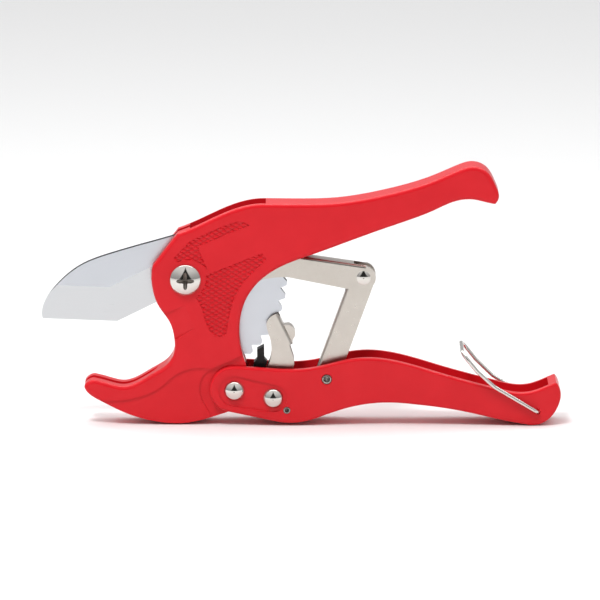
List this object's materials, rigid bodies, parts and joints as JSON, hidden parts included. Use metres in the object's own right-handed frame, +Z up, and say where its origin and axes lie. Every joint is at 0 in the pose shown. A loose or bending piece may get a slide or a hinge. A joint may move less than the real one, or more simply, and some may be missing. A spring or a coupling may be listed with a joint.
{
  "type": "pipe cutter",
  "caption": "Ratcheting plastic-pipe cutter with a curved anvil jaw, a ground blade, a squeezing lower handle, folding links and a wire lock bail.",
  "frame": {"origin": "middle of the underside of the object's box, on the tool's middle plane", "axes": "+X along the handles away from the jaw, +Z up from the lower handle to the upper handle, Y across the tool"},
  "size_m": [0.2163, 0.0274, 0.1092],
  "materials": {
    "red_paint": "semi-gloss",
    "blade_steel": "ground satin",
    "satin_nickel": "satin",
    "polished_nickel": "polished",
    "spring_wire": "bright drawn",
    "black_oxide": "satin"
  },
  "bodies": {
    "frame": {"body_casting": "red_paint", "blade_pivot_screw": "polished_nickel", "blade_pivot_nut": "polished_nickel", "nut_washer": "polished_nickel", "blade_pivot_bush": "polished_nickel", "blade_shim_washers": "polished_nickel", "handle_pivot_rivet": "polished_nickel", "holding_pawl_spacers": "polished_nickel", "holding_pawl_spring": "spring_wire"},
    "blade": {"blade": "blade_steel"},
    "lower_handle": {"lower_handle": "red_paint", "lower_link_pin": "polished_nickel", "lower_link_spacers": "polished_nickel", "pawl_rivet": "polished_nickel", "pawl_spacers": "polished_nickel", "pawl_spring": "spring_wire", "spring_stop_pin": "polished_nickel"},
    "drive_pawl": {"drive_pawl": "satin_nickel"},
    "upper_link": {"upper_link": "satin_nickel", "elbow_rivet": "polished_nickel", "handle_return_spring": "spring_wire"},
    "lower_link": {"lower_link": "satin_nickel"},
    "holding_pawl": {"holding_pawl": "black_oxide"},
    "lock_bail": {"lock_bail": "spring_wire"}
  },
  "joints": [
    {"name": "blade_swing", "type": "hinge", "parent": "frame", "child": "blade", "pos_m": [-0.04805, 0, 0.0615], "axis": [0, -1, 0], "range_deg": [-30, 42]},
    {"name": "handle_squeeze", "type": "hinge", "parent": "frame", "child": "lower_handle", "pos_m": [-0.02785, 0, 0.0147], "axis": [0, -1, 0], "range_deg": [0, 26], "stiffness_Nm_per_rad": 0.4, "springref_deg": -17.19},
    {"name": "drive_pawl_swing", "type": "hinge", "parent": "lower_handle", "child": "drive_pawl", "pos_m": [-0.01165, 0, 0.0115], "axis": [0, -1, 0], "range_deg": [-32, 0]},
    {"name": "upper_link_swing", "type": "hinge", "parent": "frame", "child": "upper_link", "pos_m": [-0.04805, 0, 0.0615], "axis": [0, -1, 0], "range_deg": [0, 12]},
    {"name": "lower_link_swing", "type": "hinge", "parent": "lower_handle", "child": "lower_link", "pos_m": [0.01065, 0, 0.0197], "axis": [0, -1, 0], "range_deg": [-33, 0]},
    {"name": "holding_pawl_swing", "type": "hinge", "parent": "frame", "child": "holding_pawl", "pos_m": [-0.02785, 0, 0.0147], "axis": [0, -1, 0], "range_deg": [-6, 0], "stiffness_Nm_per_rad": 0.02, "springref_deg": 17.19},
    {"name": "bail_swing", "type": "hinge", "parent": "lower_handle", "child": "lock_bail", "pos_m": [0.09855, 0, 0.006], "axis": [0, -1, 0], "range_deg": [-150, 0]}
  ],
  "couplings": [
    {"joint": "drive_pawl_swing", "follows": "handle_squeeze", "ratio": -1.2},
    {"joint": "upper_link_swing", "follows": "handle_squeeze", "ratio": 0.445},
    {"joint": "lower_link_swing", "follows": "handle_squeeze", "ratio": -1.22}
  ]
}
